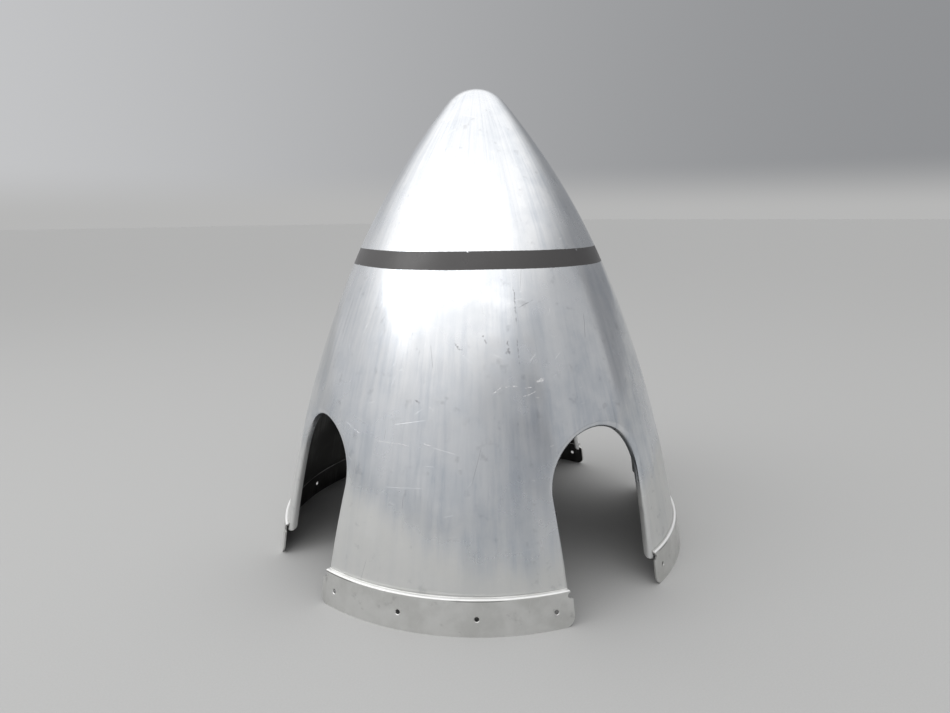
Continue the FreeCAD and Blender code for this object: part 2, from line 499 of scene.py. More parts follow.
def wrap_on_the_ogive_tree(repeat: bpy.types.NodeTree) -> bpy.types.NodeTree:
    """Tree that wraps a flat pattern on the ogive and repeats it round the axis.

    The pattern's X is the turn about the axis, its Y the tilt of the surface and its Z the depth.

    Args:
        repeat: The tree that repeats the wrapped pattern.

    Returns:
        The tree, with an input for each size of the ogive.
    """
    inputs = {
        "Geometry": "Geometry",
        "Height": 0.5,
        "Tip Radius": 0.04,
        "Fore Radius": 0.8,
        "Aft Radius": 1.3,
        "Tip Tilt": 0.8,
        "Shoulder Tilt": 1.1,
        "Blades": 4,
        "Outside": "Material",
        "Inside": "Material",
    }
    group = Group("Geometry", "wrap_on_the_ogive", "Geometry", inputs)
    nodes, given = group.nodes, group.given
    turn, tilt, depth = nodes.split(nodes.output("GeometryNodeInputPosition"))

    def next_centre(r: Any, z: Value, radius: Value, following: Value, joint: Value) -> tuple:
        """Centre of the arc that follows another one tangentially at a tilt."""
        cosine, sine = nodes.cos_sin(joint)
        step = radius - following
        return step * sine + r, step * cosine + z

    def choose(tip: Any, fore: Any, aft: Any) -> Value:
        """The number for the arc that the tilt falls on."""
        number = lerp(tip, fore, nodes.math("GREATER_THAN", tilt, given["Tip Tilt"]))
        return lerp(number, aft, nodes.math("GREATER_THAN", tilt, given["Shoulder Tilt"]))

    tip, fore, aft = given["Tip Radius"], given["Fore Radius"], given["Aft Radius"]
    tip_z = given["Height"] - tip
    fore_r, fore_z = next_centre(0.0, tip_z, tip, fore, given["Tip Tilt"])
    aft_r, aft_z = next_centre(fore_r, fore_z, fore, aft, given["Shoulder Tilt"])
    reach = choose(tip, fore, aft) - depth
    cosine, sine = nodes.cos_sin(tilt)
    r = reach * sine + choose(0.0, fore_r, aft_r)
    z = reach * cosine + choose(tip_z, fore_z, aft_z)
    cosine, sine = nodes.cos_sin(turn)
    place = {"Geometry": given["Geometry"], "Position": nodes.join(r * cosine, r * sine, z)}
    values = {
        "Geometry": nodes.output("GeometryNodeSetPosition", place),
        "Copies": given["Blades"],
        "Outside": given["Outside"],
        "Inside": given["Inside"],
    }
    return group.finish(nodes.output("GeometryNodeGroup", values, node_tree=repeat))


# -------- the dome


@dataclass(frozen=True)
class Section:
    """Points of the sheet's section at one station along a cutout's rim.

    Attributes:
        outer: From the end of the rolled bend on the dome to the corner of the free edge.
        edge: Across the free edge.
        inner: The same places as outer, on the other face of the sheet.
    """

    outer: list[Point]
    edge: list[Point]
    inner: list[Point]


@dataclass
class Dome:
    """The spun dome above the ledge, with the rims of its blade cutouts turned in."""

    ogive: Ogive
    blades: int = 4
    sheet: float = 2.0 * MM
    ledge_height: float = 35.5 * MM
    cutout_width: float = 121.0 * MM
    cutout_mouth: float = 117.0 * MM
    cutout_centre: float = 119.5 * MM
    flange_depth: float = 10.0 * MM
    bend_radius: float = 5.0 * MM
    tail: float = 8.0 * MM
    tail_round: float = 5.0 * MM
    edge_break: float = 0.35 * MM
    shoulder_height: float = 236.0 * MM
    arch_steps: int = 28
    side_steps: int = 20
    tail_steps: int = 10
    field_steps: int = 14
    field_crowding: float = 1.5
    bend_steps: int = 7
    nose_steps: tuple[int, int, int] = (16, 44, 14)
    crown_share: float = 0.72
    valley: float = 0.5 * MM
    valley_top: float = 110.0 * MM

    @property
    def lean(self) -> float:
        """How far a cutout's side leans in, as an angle."""
        arch = self.cutout_width / 2
        drop = self.cutout_centre - self.ledge_height
        span = math.hypot(drop, self.cutout_mouth / 2)
        return math.asin(arch / span) - math.atan2(self.cutout_mouth / 2, drop)

    @property
    def weld_height(self) -> float:
        """Where the dome's lower edge is buried in the ledge."""
        return self.ledge_height - self.sheet / 2

    def rim_point(self, z: float) -> tuple[Vector, Vector]:
        """Point and outward normal of a cutout's straight side at a height, in its own plane."""
        normal = Vector((0, math.cos(self.lean), -math.sin(self.lean)))
        arch = self.cutout_width / 2
        top_y, top_z = arch * normal.y, self.cutout_centre + arch * normal.z
        return Vector((0, top_y - (top_z - z) * math.tan(self.lean), z)), normal

    def bend_centre(self, rim: Vector, normal: Vector) -> Vector:
        """Centre of the rolled bend's circle at a station."""
        centre = rim + normal * self.bend_radius
        radius = self.ogive.radius_at(centre.z, self.bend_radius)
        centre.x = math.sqrt(radius**2 - centre.y**2)
        return centre

    def bend_point(self, rim: Vector, normal: Vector, share: float, radius: float) -> Vector:
        """A point of the bend.

        Args:
            rim: The station on the cutout's outline.
            normal: The outline's normal, away from the cutout.
            share: 0 on the dome to 1 on the flange.
            radius: Radius of the bend's outer or inner face.

        Returns:
            The point.
        """
        centre = self.bend_centre(rim, normal)
        out = self.ogive.normal(centre)
        sweep = out.angle(-normal)
        across = math.sin((1 - share) * sweep) * out - math.sin(share * sweep) * normal
        return centre + across / math.sin(sweep) * radius

    def levelled(self, rim: Vector, normal: Vector, share: float, radius: float) -> Vector:
        """A point of the bend beside a straight side, at the height of its station.

        Args:
            rim: The station on the cutout's outline.
            normal: The outline's normal, away from the cutout.
            share: 0 on the dome to 1 on the flange.
            radius: Radius of the bend's outer or inner face.

        Returns:
            The point.
        """
        point = self.bend_point(rim, normal, share, radius)
        for _ in range(2):
            lower, _ = self.rim_point(rim.z - (point.z - rim.z))
            moved = self.bend_point(lower, normal, share, radius)
            point = moved if abs(moved.z - rim.z) < abs(point.z - rim.z) else point
        return point

    def flange_point(self, rim: Vector, normal: Vector, inset: float, depth: float) -> Vector:
        """A point of the flange, at an inset from its outer face and a depth inside the dome."""
        point = rim + normal * inset
        point.x = math.sqrt(self.ogive.radius_at(point.z, depth) ** 2 - point.y**2)
        return point

    def section(self, rim: Vector, normal: Vector, straight: bool, edge_depth: float) -> Section:
        """The sheet's section at a station.

        Args:
            rim: The station on the cutout's outline.
            normal: The outline's normal, away from the cutout.
            straight: True on a side, False on the arch.
            edge_depth: How deep the flange's free edge lies.

        Returns:
            The section in turn, tilt and depth.
        """
        flat = self.ogive.flat
        place = self.levelled if straight else self.bend_point
        small = self.edge_break
        shares = even(0.0, 1.0, self.bend_steps)
        outer = [flat(place(rim, normal, s, self.bend_radius)) for s in shares]
        inner = [flat(place(rim, normal, s, self.bend_radius - self.sheet)) for s in shares]
        corner = edge_depth - small
        outer.append(flat(self.flange_point(rim, normal, 0.0, corner)))
        inner.append(flat(self.flange_point(rim, normal, self.sheet, corner)))
        insets = (small, self.sheet - small)
        edge = [flat(self.flange_point(rim, normal, i, edge_depth)) for i in insets]
        return Section(outer, edge, inner)

    def edge_depth_at(self, z: float) -> float:
        """Depth of the flange's free edge, which curves out to the tail's end."""
        start = self.ledge_height - self.tail + self.tail_round
        if z >= start:
            return self.flange_depth
        fall = min(start - z, self.tail_round)
        return self.flange_depth - self.tail_round + math.sqrt(self.tail_round**2 - fall**2)

    def stations(self) -> list[Section]:
        """The sheet's sections along half a cutout.

        Returns:
            The sections from the cutout's crown down to the end of the flange's tail.
        """
        found = []
        for angle in even(QUARTER, -self.lean, self.arch_steps)[:-1]:
            normal = Vector((0, math.cos(angle), math.sin(angle)))
            rim = Vector((0, 0, self.cutout_centre)) + normal * self.cutout_width / 2
            found.append(self.section(rim, normal, False, self.flange_depth))
        top = self.cutout_centre - math.sin(self.lean) * self.cutout_width / 2
        heights = even(top, self.weld_height, self.side_steps)
        end = self.ledge_height - self.tail
        for i in range(1, self.tail_steps + 1):
            heights.append(lerp(self.weld_height, end, math.sin(QUARTER * i / self.tail_steps)))
        for z in heights:
            rim, normal = self.rim_point(z)
            found.append(self.section(rim, normal, True, self.edge_depth_at(z)))
        return found

    def field_column(self, start: Point, turn: float, tilt: float) -> list[Point]:
        """Points over the dome from the field's boundary in to the bend, closer together there."""
        steps = self.field_steps
        shares = [(1 - i / steps) ** self.field_crowding for i in range(steps)]
        return [(lerp(start[0], turn, s), lerp(start[1], tilt, s), start[2]) for s in shares]

    def valley_depth(self, tilt: float) -> float:
        """How deep the bend's tool has pressed in beside it, at a tilt: less higher up."""
        _, centre_z, radius = self.ogive.arc(Arc.AFT)
        z = centre_z + radius * math.cos(tilt)
        share = (self.valley_top - z) / (self.valley_top - self.ledge_height)
        return self.valley * min(1.0, max(0.0, share))

    def pattern(self) -> Patchwork:
        """The flat pattern of one blade's share of the dome.

        Returns:
            The patches, their points in turn, tilt and depth.
        """
        work = Patchwork()
        sections = self.stations()
        last = self.arch_steps + self.side_steps
        crown = round(self.arch_steps * self.crown_share)
        half = math.pi / self.blades
        shoulder = self.ogive.tilt_at(self.shoulder_height)
        turns = even(0.0, half, crown)
        # the field between the rim and the rest of the dome, both faces of the sheet at once
        outer_rows, inner_rows = [], []
        for k, section in enumerate(sections[: last + 1]):
            turn = turns[min(k, crown)]
            fall = max(0.0, (k - crown) / (last - crown))
            z = lerp(self.shoulder_height, self.weld_height, fall)
            tilt = self.ogive.tilt_at(z)
            outer = self.field_column(section.outer[0], turn, tilt)
            inner = self.field_column(section.inner[0], turn, tilt)
            u, v, _ = outer[-1]
            outer[-1] = (u, v, self.valley_depth(section.outer[0][1]))
            outer_rows.append(outer + section.outer)
            inner_rows.append([(u, v, self.sheet) for u, v, _ in inner] + section.inner)
        work.add_grid(outer_rows, Side.OUTSIDE, flip=True)
        work.add_grid(inner_rows, Side.INSIDE)
        under = [outer_rows[-1][: self.field_steps + 1], inner_rows[-1][: self.field_steps + 1]]
        work.add_grid(under, Side.INSIDE, flip=True)
        self.add_flange_ends(work, sections, last)
        self.add_nose(work, turns, shoulder)
        work.add_mirrored(lambda p: (-p[0], p[1], p[2]))
        return work

    def add_flange_ends(self, work: Patchwork, sections: list[Section], last: int) -> None:
        """Add the free edge, and the flange's tail under the ledge.

        Args:
            work: The dome's patches.
            sections: The sections from the crown down.
            last: Number of the section where the tail starts.
        """
        edges = [[s.outer[-1], *s.edge, s.inner[-1]] for s in sections]
        work.add_grid(edges, Side.OUTSIDE, flip=True)
        tail = sections[last:]
        work.add_grid([s.outer for s in tail], Side.OUTSIDE, flip=True)
        work.add_grid([s.inner for s in tail], Side.OUTSIDE)
        work.add_grid([[s.inner[0], s.outer[0]] for s in tail], Side.OUTSIDE, flip=True)
        end = sections[-1]
        work.add_grid([end.outer, end.inner], Side.OUTSIDE, flip=True)
        work.add_face([end.outer[-1], end.edge[0], end.edge[1], end.inner[-1]], Side.OUTSIDE)

    def add_nose(self, work: Patchwork, turns: list[float], shoulder: float) -> None:
        """Add the dome above the cutouts, up to the pole of the tip.

        Args:
            work: The dome's patches.
            turns: Turns of the columns, from the cutout's middle to the lobe's.
            shoulder: Tilt where the nose starts.
        """
        joints = (shoulder, self.ogive.shoulder_tilt, self.ogive.tip_tilt, 0.0)
        tilts: list[float] = []
        for start, end, steps in zip(joints, joints[1:], self.nose_steps):
            tilts += even(start, end, steps)[:-1]
        for depth, side in ((0.0, Side.OUTSIDE), (self.sheet, Side.INSIDE)):
            inside = side is Side.INSIDE
            work.add_grid([[(u, v, depth) for u in turns] for v in tilts], side, flip=not inside)
            for a, b in zip(turns, turns[1:]):
                fan = [(a, tilts[-1], depth), (b, tilts[-1], depth), (a, 0.0, depth)]
                work.add_face(fan[::-1] if inside else fan, side)

    def build(self, repeat: bpy.types.NodeTree, **finishes: bpy.types.Material) -> bpy.types.Object:
        """Wrap the pattern on the ogive with geometry nodes.

        Args:
            repeat: The tree that repeats a mesh round the axis.
            finishes: Outside, for the outer face, the bends and the flanges, and Inside.

        Returns:
            The dome as an object with a plain mesh.
        """
        piece = self.pattern().to_object("dome_with_flanges")
        fore, aft = self.ogive.radii()
        values = {
            "Height": self.ogive.height,
            "Tip Radius": self.ogive.tip_radius,
            "Fore Radius": fore,
            "Aft Radius": aft,
            "Tip Tilt": self.ogive.tip_tilt,
            "Shoulder Tilt": self.ogive.shoulder_tilt,
            "Blades": self.blades,
            **finishes,
        }
        add_geometry_nodes(piece, wrap_on_the_ogive_tree(repeat), values)
        return made_plain(piece)


# -------- the skirt


@dataclass(frozen=True)
class Place:
    """A vertex of the skirt's pattern.

    Attributes:
        turn: Turn about the axis on the outer face.
        z: Height.
        end_y: Where set, how far from the cutout's middle the row that holds the vertex ends.
        share: How far along that row the vertex lies, towards the lobe's middle.
    """

    turn: float
    z: float
    end_y: float | None = None
    share: float = 0.0


@dataclass
class Skirt:
    """The ledge and the straight skirt under it, with its ears, notches and screw holes.

    Attributes:
        sink_profile: The broken edge of a hole, as shares of its depth and of its width.
        filling_start: Turn from which the wall is filled with an even grid of places.
    """

    ogive: Ogive
    blades: int = 4
    sheet: float = 2.0 * MM
    radius: float = 254.0 * MM
    height: float = 35.5 * MM
    joggle: float = 4.0 * MM
    ledge_round: float = 1.6 * MM
    cove: float = 1.1 * MM
    mouth: float = 117.0 * MM
    ear_reach: float = -1.0 * MM
    ear_top: float = 28.0 * MM
    ear_crest_round: float = 1.8 * MM
    ear_foot_round: float = 11.0 * MM
    ledge_setback: float = 3.5 * MM
    screws_per_lobe: int = 4
    screw_hole: float = 4.4 * MM
    screw_height: float = 17.0 * MM
    edge_break: float = 0.3 * MM
    hole_sink: float = 0.8 * MM
    columns: int = 44
    middle_steps: int = 8
    notch_steps: int = 14
    crest_steps: int = 7
    foot_steps: int = 9
    ledge_steps: int = 7
    cove_steps: int = 5
    hole_steps: int = 28
    hole_rings: Flat = (3.8 * MM, 5.0 * MM)
    sink_profile: tuple[Flat, ...] = ((0.0, 1.0), (0.15, 0.7), (0.5, 0.25), (1.0, 0.0))
    filling_start: float = 0.2
    filling_columns: int = 40
    filling_rows: int = 9
    clear_of_edge: float = 2.0 * MM
    clear_of_hole: float = 6.2 * MM
    bevel_steps: int = 2
    bevel_angle: float = deg(50.0)

    @property
    def half(self) -> float:
        """Turn from the middle of a cutout to the middle of a lobe."""
        return math.pi / self.blades

    @property
    def under(self) -> float:
        """Height of the ledge's underside."""
        return self.height - self.sheet

    def normal(self) -> tuple[float, float]:
        """Unit normal of the skirt's outer face, as its r and z parts."""
        run = self.ogive.radius_at(self.height) + self.joggle - self.radius
        span = math.hypot(run, self.height)
        return self.height / span, -run / span

    def radius_at(self, z: float, depth: float = 0.0) -> float:
        """Distance from the axis, depth inside the skirt's outer face."""
        nr, nz = self.normal()
        return self.radius - depth / nr - z * nz / nr

    def row_turn(self, end_y: float, share: float, r: float) -> float:
        """Turn of a place along a row that ends at end_y, on a circle of radius r."""
        return lerp(math.asin(end_y / r), self.half, share)

    def in_row(self, end_y: float, share: float, z: float) -> Place:
        """A place given by its row's end and its share of the row."""
        return Place(self.row_turn(end_y, share, self.radius_at(z)), z, end_y, share)

    def point(self, place: Place, depth: float) -> Point:
        """Where a place lies, depth inside the outer face."""
        nr, nz = self.normal()
        if place.end_y is None:
            r, z, turn = self.radius_at(place.z) - nr * depth, place.z - nz * depth, place.turn
        else:
            r, z = self.radius_at(place.z, depth), place.z
            turn = self.row_turn(place.end_y, place.share, r)
        return polar(turn, r, z)

    def outline(self) -> tuple[list[Place], int]:
        """The half lobe's outline.

        Returns:
            The places in order, up the lobe's middle, along the top to the free end, down the ear
            and back along the bottom; and the number of edges up the middle and along the top,
            which need no wall.
        """
        side = self.mouth / 2 - self.ear_reach
        end = self.mouth / 2 + self.ledge_setback
        foot, crest = self.ear_foot_round, self.ear_crest_round
        middle = [self.in_row(end, 1.0, z) for z in even(0.0, self.under, self.middle_steps)[:-1]]
        top = [self.in_row(end, s, self.under) for s in even(1.0, 0.0, self.columns)]
        notch = (self.under - self.ear_top) / 2
        high, low = self.ear_top + notch, self.ear_top - crest
        free = arc(end, high, notch, QUARTER, -QUARTER, self.notch_steps)[1:]
        free += arc(side + crest, low, crest, QUARTER, 2 * QUARTER, self.crest_steps)
        free.append((side, (low + foot) / 2))
        free += arc(side + foot, foot, foot, 2 * QUARTER, 3 * QUARTER, self.foot_steps)[:-1]
        ends = [self.in_row(y, 0.0, z) for y, z in free]
        bottom = [self.in_row(side + foot, s, 0.0) for s in even(0.0, 1.0, self.columns)[:-1]]
        return middle + top + ends + bottom, len(middle) + len(top) - 1

    def hole_turns(self) -> list[float]:
        """Turns of the screw holes between a cutout's middle and a lobe's middle."""
        pitch = 2 * self.half / (self.screws_per_lobe + 1)
        return [pitch * (i + 1) for i in range(self.screws_per_lobe // 2)]

    def ring(self, turn: float, radius: float) -> list[Place]:
        """A circle of places round a screw hole, anticlockwise from outside."""
        _, nz = self.normal()
        rise = math.sqrt(1 - nz * nz)
        spread = radius / self.radius_at(self.screw_height)
        angles = even(0.0, 4 * QUARTER, self.hole_steps)[:-1]
        return [
            Place(turn + spread * math.cos(a), self.screw_height + radius * rise * math.sin(a))
            for a in angles
        ]

    def flat(self, place: Place) -> Vector:
        """A place on the unrolled skirt."""
        return Vector((place.turn * self.radius_at(self.screw_height), place.z))

    def hole_centres(self) -> list[Vector]:
        """The screw holes' centres on the unrolled skirt."""
        return [self.flat(Place(turn, self.screw_height)) for turn in self.hole_turns()]

    def filling(self, edge: list[Vector]) -> list[Place]:
        """Evenly spaced places that fill the wall.

        Args:
            edge: The outline on the unrolled skirt.

        Returns:
            The places, clear of the edge and of the holes.
        """
        centres = self.hole_centres()
        found = []
        for turn in even(self.filling_start, self.half, self.filling_columns)[:-1]:
            for z in even(0.0, self.under, self.filling_rows)[1:-1]:
                place = Place(turn, z)
                spot = self.flat(place)
                clear = nearest(spot, edge) >= self.clear_of_edge
                clear = clear and nearest(spot, centres) >= self.clear_of_hole
                if clear and is_inside(spot, edge):
                    found.append(place)
        return found

    def add_wall(self, work: Patchwork) -> None:
        """Add the straight wall of half a lobe, with its ear, notch and holes.

        Args:
            work: The skirt's patches.
        """
        outline, free_edges = self.outline()
        border = [self.flat(p) for p in outline]
        mouth = self.screw_hole / 2 + self.hole_sink
        holes = [self.ring(t, mouth) for t in self.hole_turns()]
        rings = [p for t in self.hole_turns() for r in self.hole_rings for p in self.ring(t, r)]
        places = outline + [p for hole in holes for p in hole] + rings + self.filling(border)
        edges: list[tuple[int, int]] = []
        for loop in (outline, *holes):
            first = len(edges)
            edges += [(first + i, first + (i + 1) % len(loop)) for i in range(len(loop))]
        flats = [self.flat(p) for p in places]
        centres = self.hole_centres()
        _, _, faces, origins, _, _ = delaunay_2d_cdt(flats, edges, [], 0, SAME_PLACE)
        for face in faces:
            corners = [origins[i][0] for i in face]
            middle = sum((flats[i] for i in corners), Vector((0, 0))) / len(corners)
            in_hole = nearest(middle, centres) < mouth * JUST_INSIDE
            if in_hole or not is_inside(middle, border):
                continue
            if turns_clockwise([flats[i] for i in corners]):
                corners.reverse()
            work.add_face([self.point(places[i], 0.0) for i in corners], Side.OUTSIDE)
            work.add_face([self.point(places[i], self.sheet) for i in corners[::-1]], Side.INSIDE)
        loop = outline[free_edges:] + outline[:1]
        work.add_grid([[self.point(p, d) for p in loop] for d in (0.0, self.sheet)], Side.OUTSIDE)
        for turn in self.hole_turns():
            self.add_hole(work, turn)

    def add_hole(self, work: Patchwork, turn: float) -> None:
        """Add the wall of a screw hole, its edges broken on both faces.

        Args:
            work: The skirt's patches.
            turn: The hole's turn about the axis.
        """
        small, bore, sink = self.edge_break, self.screw_hole / 2, self.hole_sink
        profile = [(down * sink, bore + out * sink) for down, out in self.sink_profile]
        sheet = self.sheet
        profile += [(sheet - small, bore), (sheet, bore + small), (sheet, bore + sink)]
        rows = []
        for depth, radius in profile:
            ring = self.ring(turn, radius)
            rows.append([self.point(p, depth) for p in ring + ring[:1]])
        work.add_grid(rows, Side.OUTSIDE, flip=True)

    def ledge_section(self) -> list[Flat]:
        """The ledge's section.

        Returns:
            Its points as r and z, from the skirt's outer face round to its inner one.
        """
        nr, nz = self.normal()
        top, under, bend, cove = self.height, self.under, self.ledge_round, self.cove
        corner = self.radius_at(top - bend) - bend * (nr + nz * nz / nr)
        wall = self.ogive.radius_at(top + cove)
        return [
            (self.radius_at(under), under),
            *arc(corner, top - bend, bend, math.atan2(nz, nr), QUARTER, self.ledge_steps),
            *arc(wall + cove, top + cove, cove, -QUARTER, -2 * QUARTER, self.cove_steps),
            (wall - self.sheet / 2, top + cove),
            (self.ogive.radius_at(under, self.sheet), under),
            (self.radius_at(under, self.sheet), under),
        ]

    def add_ledge(self, work: Patchwork) -> None:
        """Add the ledge of half a lobe, cut square at the cutout.

        Args:
            work: The skirt's patches.
        """
        end = self.mouth / 2 + self.ledge_setback
        rows = []
        for r, z in self.ledge_section():
            turns = [self.row_turn(end, s, r) for s in even(0.0, 1.0, self.columns)]
            rows.append([polar(t, r, z) for t in turns])
        work.add_grid(rows[:-1], Side.OUTSIDE, flip=True)
        work.add_grid(rows[-2:], Side.INSIDE, flip=True)
        work.add_face([row[0] for row in rows], Side.OUTSIDE)

    def build(self, repeat: bpy.types.NodeTree, **finishes: bpy.types.Material) -> bpy.types.Object:
        """Repeat one lobe's skirt round the axis with geometry nodes and break its edges.

        Args:
            repeat: The tree that repeats a mesh round the axis.
            finishes: Outside, for the outer face, the ledge and the cut edges, and Inside.

        Returns:
            The skirt as an object with a plain mesh.
        """
        work = Patchwork()
        self.add_wall(work)
        self.add_ledge(work)
        work.add_mirrored(lambda p: (p[1], p[0], p[2]))
        piece = work.to_object("screw_skirt")
        add_geometry_nodes(piece, repeat, {"Copies": self.blades, **finishes})
        bevel = piece.modifiers.new("broken_edges", "BEVEL")
        bevel.width = self.edge_break
        bevel.segments = self.bevel_steps
        bevel.limit_method = "ANGLE"
        bevel.angle_limit = self.bevel_angle
        bevel.harden_normals = True
        return made_plain(piece)


def nearest(spot: Vector, others: list[Vector]) -> float:
    """Distance of a flat point from the nearest of several others."""
    return min((spot - other).length for other in others)


def is_inside(spot: Vector, border: list[Vector]) -> bool:
    """True where a flat point lies inside a closed border."""
    inside = False
    for a, b in zip(border, border[1:] + border[:1]):
        if (a.y > spot.y) != (b.y > spot.y):
            crossing = a.x + (spot.y - a.y) * (b.x - a.x) / (b.y - a.y)
            inside ^= spot.x < crossing
    return inside


def turns_clockwise(corners: list[Vector]) -> bool:
    """True where a flat face's corners run clockwise."""
    pairs = zip(corners, corners[1:] + corners[:1])
    return sum(a.x * b.y - b.x * a.y for a, b in pairs) < 0


# -------- shader groups


def shader_group(name: str, output: str, **inputs: Any) -> Group:
    """Start a shader node group whose first input is the position on the object."""
    return Group("Shader", name, output, {"Position": (0.0, 0.0, 0.0), **inputs})


def polish_streaks_group() -> bpy.types.NodeTree:
    """Streaks that run up the dome from ledge to tip, as hand polishing leaves them."""
    group = shader_group("polish_streaks", "Streaks", Around=40.0, Along=8.0, Seed=0.0)
    n, given = group.nodes, group.given
    flat = n.vector("MULTIPLY", given["Position"], (1.0, 1.0, 0.0))
    x, y, _ = n.split(n.scaled(n.vector("NORMALIZE", flat), given["Around"]))
    _, _, z = n.split(given["Position"])
    along = z * given["Along"] + given["Seed"]
    return group.finish(n.noise(n.join(x, y, along), scale=1.0, detail=5.0, roughness=0.62))


def haze_group() -> bpy.types.NodeTree:
    """Soft cloudy patches, as oxide and old polish leave them."""
    group = shader_group("cloudy_haze", "Haze", Size=0.05, Low=0.4, High=0.6, Seed=0.0)
    n, given = group.nodes, group.given
    moved = n.vector("ADD", given["Position"], n.join(given["Seed"], 0.0, given["Seed"]))
    cloud = n.noise(moved, 1.0 / given["Size"], detail=4.0, roughness=0.55)
    return group.finish(n.ramp(cloud, given["Low"], given["High"]))


def scratches_group() -> bpy.types.NodeTree:
    """Short straight scratches, at most one in each cell, each at its own angle."""
    group = shader_group(
        "short_scratches",
        "Mask",
        Spacing=0.03,
        Length=0.02,
        Width=0.0003,
        Share=0.5,
        Spread=3.14,
        Lean=0.0,
    )
    n, given = group.nodes, group.given
    position = given["Position"]
    shortest, longest = 0.1, 0.5
    cells = n.add("ShaderNodeTexVoronoi", {"Vector": position, "Scale": 1.0 / given["Spacing"]})
    local = n.vector("SUBTRACT", position, cells.outputs["Position"])
    chance, pick, size = n.split(cells.outputs["Color"])
    x, y, _ = n.split(position)
    round_way = n.vector("NORMALIZE", n.join(y * -1.0, x, 0.0))
    across = n.vector("DOT_PRODUCT", local, round_way)
    _, _, up = n.split(local)
    angle = (chance - 0.5) * given["Spread"] + given["Lean"]
    along, off = n.slanted(across, up, angle)
    reach = given["Length"] * lerp(shortest, longest, size)
    edge = n.fall(abs(off) / given["Width"], low=0.3, high=0.7)
    run = n.fall(abs(along) / reach, low=0.7, high=1.0)
    return group.finish(edge * run * n.math("LESS_THAN", pick, given["Share"]))


def chipped_band_group() -> bpy.types.NodeTree:
    """A painted band between two heights, its edges ragged and chipped."""
    group = shader_group(
        "chipped_band", "Paint", Bottom=0.34, Top=0.36, Ragged=0.0008, Chips=0.5
    )
    n, given = group.nodes, group.given
    wave, edge, rim = 2.2 * MM, 0.12 * MM, 4.5 * MM
    hold_at_edge, hold_inside, chip_edge = 0.68, 0.80, 0.004
    position = given["Position"]
    _, _, z = n.split(position)
    slow = n.noise(position, scale=9.0, detail=1.0) - 0.5
    quick = n.noise(position, scale=420.0, detail=3.0, roughness=0.7) - 0.5
    level = slow * wave + z + quick * given["Ragged"]
    near = n.math("MINIMUM", level - given["Bottom"], given["Top"] - level)
    band = n.ramp(near, -edge, edge)
    # paint flakes off in small chips, more of them near the edges
    flakes = n.noise(position, scale=190.0, detail=4.0, roughness=0.68)
    limit = n.ramp(near, 0.0, rim, hold_at_edge, hold_inside) - given["Chips"] * 0.06
    chip = n.ramp(flakes - limit, -chip_edge, chip_edge)
    return group.finish(band * (1.0 - chip))


def placed_mark_group() -> bpy.types.NodeTree:
    """One scratch or scuff at a place on the dome, ragged and broken along its length."""
    group = shader_group(
        "placed_mark",
        "Mask",
        Outward=(1.0, 0.0, 0.0),
        Round=(0.0, 1.0, 0.0),
        Height=0.2,
        Length=0.02,
        Width=0.001,
        Slant=0.0,
    )
    n, given = group.nodes, group.given
    position = given["Position"]
    across = n.vector("DOT_PRODUCT", position, given["Round"])
    facing = n.math("GREATER_THAN", n.vector("DOT_PRODUCT", position, given["Outward"]), 0.0)
    _, _, z = n.split(position)
    along, off = n.slanted(across, z - given["Height"], given["Slant"])
    ragged = (n.noise(position, scale=110.0, detail=2.0) - 0.5) * 3.0
    off = ragged * given["Width"] + off
    edge = n.fall(abs(off) / (given["Width"] * 0.5), low=0.5, high=1.0)
    run = n.fall(abs(along) / (given["Length"] * 0.5), low=0.7, high=1.0)
    broken = n.ramp(n.noise(position, scale=480.0, detail=3.0), low=0.40, high=0.56)
    return group.finish(edge * run * (broken * facing))


@dataclass(frozen=True)
class Mark:
    """One mark on the dome: its place, size in millimetres and slant in degrees."""

    kind: Kind
    turn: float
    height: float
    length: float
    width: float
    slant: float

    def inputs(self) -> dict[str, Any]:
        """The values for the mark's shader group."""
        return {
            "Outward": polar(deg(self.turn), 1.0, 0.0),
            "Round": polar(deg(self.turn) + QUARTER, 1.0, 0.0),
            "Height": self.height * MM,
            "Length": self.length * MM,
            "Width": self.width * MM,
            "Slant": deg(self.slant),
        }


MARKS = (
    Mark(Kind.DARK, -112, 306, 38, 1.6, 90),
    Mark(Kind.DARK, -108, 307, 19, 0.9, 21),
    Mark(Kind.DARK, -115.5, 266, 15, 3.2, 84),
    Mark(Kind.DARK, -112.5, 259, 32, 1.2, 90),
    Mark(Kind.DARK, -123, 275, 10, 1.8, -60),
    Mark(Kind.DARK, -143, 215, 7, 2.6, -24),
    Mark(Kind.DARK, -131.5, 267, 12, 2.4, -40),
    Mark(Kind.LIGHT, -119.5, 227, 15, 2.0, 30),
    Mark(Kind.LIGHT, -115.5, 230, 14, 1.3, 0),
    Mark(Kind.LIGHT, -110.5, 228, 8, 1.0, 3),
    Mark(Kind.LIGHT, -106.5, 234, 10, 2.6, 10),
    Mark(Kind.LIGHT, -110.5, 222, 17, 0.8, 17),
    Mark(Kind.LIGHT, -146, 174, 17, 0.8, -7),
    Mark(Kind.LIGHT, -139, 176, 11, 0.8, -13),
    Mark(Kind.LIGHT, -151, 174, 28, 0.7, 0),
    Mark(Kind.LIGHT, -100, 274, 7, 0.9, -13),
)


@dataclass(frozen=True)
class Effects:
    """The shader groups that the finishes share, each built once."""

    streaks: bpy.types.NodeTree = field(default_factory=polish_streaks_group)
    haze: bpy.types.NodeTree = field(default_factory=haze_group)
    scratches: bpy.types.NodeTree = field(default_factory=scratches_group)
    band: bpy.types.NodeTree = field(default_factory=chipped_band_group)
    mark: bpy.types.NodeTree = field(default_factory=placed_mark_group)


